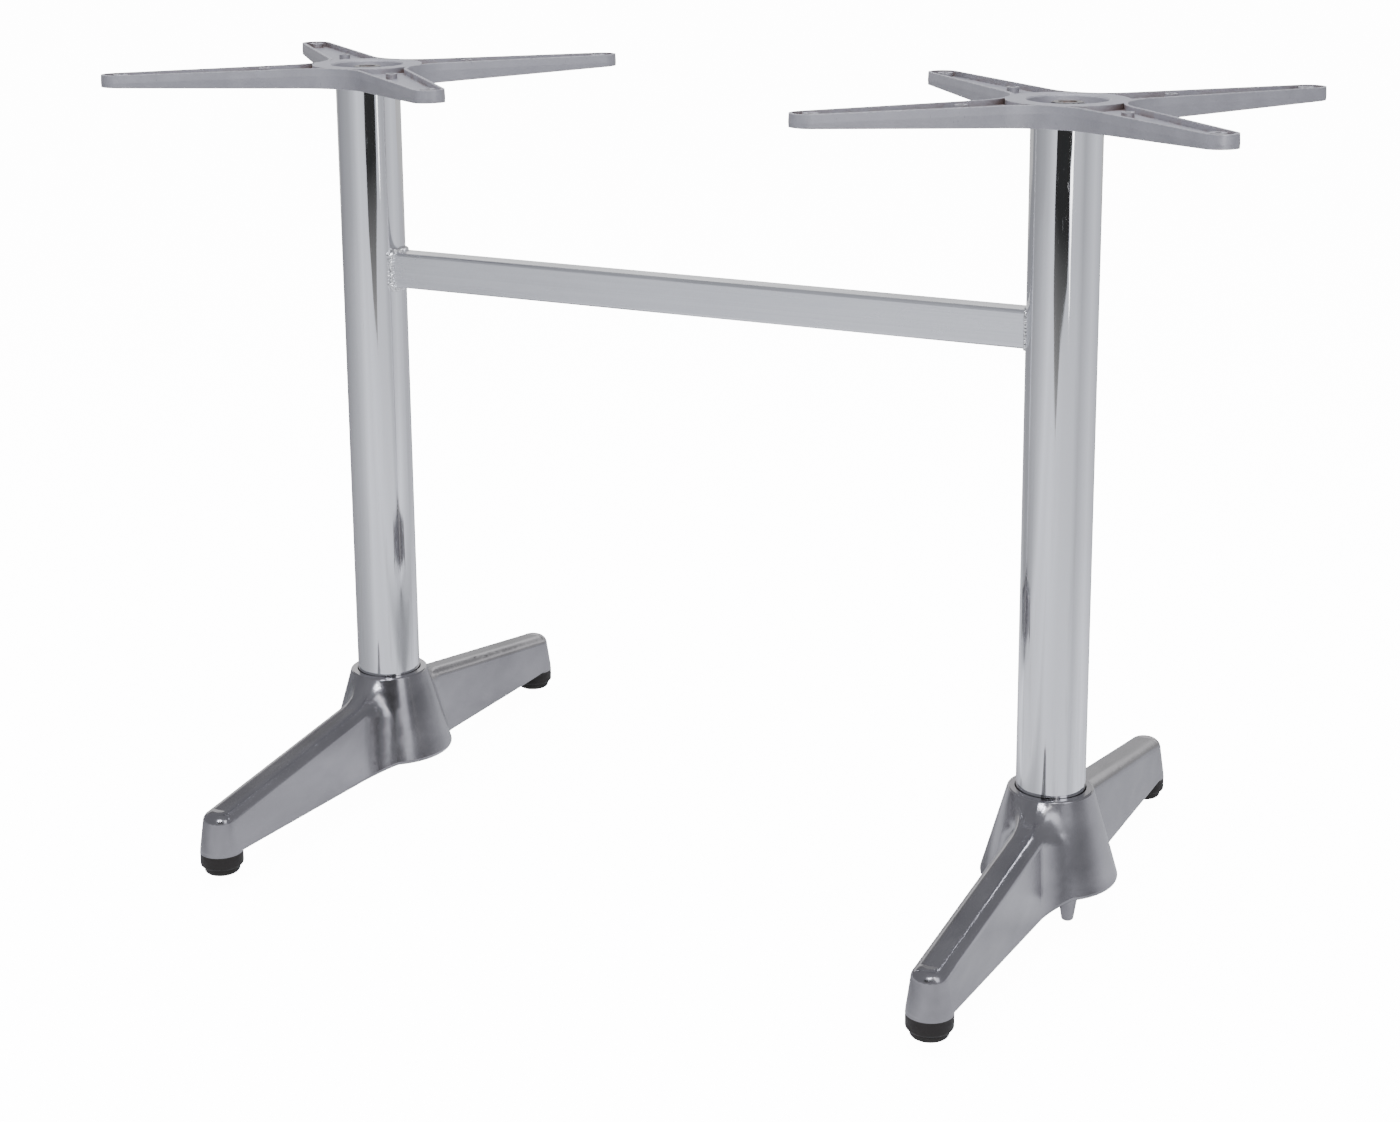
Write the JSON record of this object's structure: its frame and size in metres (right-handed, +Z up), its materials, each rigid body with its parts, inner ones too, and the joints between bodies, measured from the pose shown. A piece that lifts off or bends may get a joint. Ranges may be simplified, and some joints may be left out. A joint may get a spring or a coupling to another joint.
{
  "type": "twin pedestal table base",
  "caption": "Twin pedestal table base with round columns, a crossbar, cross-shaped top spiders, two-armed cast feet and round levelling glides.",
  "frame": {"origin": "on the floor, halfway between the two columns", "axes": "+X from the left column to the right one along the crossbar, +Z up, -Y towards the viewer of the picture"},
  "size_m": [1.0554, 0.576, 0.7],
  "materials": {
    "polished_aluminium": "mirror polished",
    "satin_aluminium": "satin, drawn lengthwise",
    "weld_metal": "rippled weld bead",
    "cast_grey": "matte casting",
    "cast_polished": "satin polished casting",
    "rod_steel": "plain steel, rusty at the cut ends",
    "nut_steel": "zinc plated",
    "glide_plastic": "matte"
  },
  "bodies": {
    "base": {"crossbar": "satin_aluminium", "left_column": "polished_aluminium", "left_weld": "weld_metal", "left_spider": "cast_grey", "left_foot": "cast_polished", "left_tie_rod": "rod_steel", "left_top_nut": "nut_steel", "left_top_washer": "nut_steel", "left_bottom_nut": "nut_steel", "left_bottom_washer": "nut_steel", "front_left_glide_sleeve": "glide_plastic", "back_left_glide_sleeve": "glide_plastic", "right_column": "polished_aluminium", "right_weld": "weld_metal", "right_spider": "cast_grey", "right_foot": "cast_polished", "right_tie_rod": "rod_steel", "right_top_nut": "nut_steel", "right_top_washer": "nut_steel", "right_bottom_nut": "nut_steel", "right_bottom_washer": "nut_steel", "front_right_glide_sleeve": "glide_plastic", "back_right_glide_sleeve": "glide_plastic"},
    "front_left_glide": {"front_left_glide_pad": "glide_plastic", "front_left_glide_stud": "nut_steel"},
    "back_left_glide": {"back_left_glide_pad": "glide_plastic", "back_left_glide_stud": "nut_steel"},
    "front_right_glide": {"front_right_glide_pad": "glide_plastic", "front_right_glide_stud": "nut_steel"},
    "back_right_glide": {"back_right_glide_pad": "glide_plastic", "back_right_glide_stud": "nut_steel"}
  },
  "joints": [
    {"name": "front_left_glide_level", "type": "slide", "parent": "base", "child": "front_left_glide", "axis": [0, 0, -1], "range_m": [0, 0.01]},
    {"name": "back_left_glide_level", "type": "slide", "parent": "base", "child": "back_left_glide", "axis": [0, 0, -1], "range_m": [0, 0.01]},
    {"name": "front_right_glide_level", "type": "slide", "parent": "base", "child": "front_right_glide", "axis": [0, 0, -1], "range_m": [0, 0.01]},
    {"name": "back_right_glide_level", "type": "slide", "parent": "base", "child": "back_right_glide", "axis": [0, 0, -1], "range_m": [0, 0.01]}
  ]
}
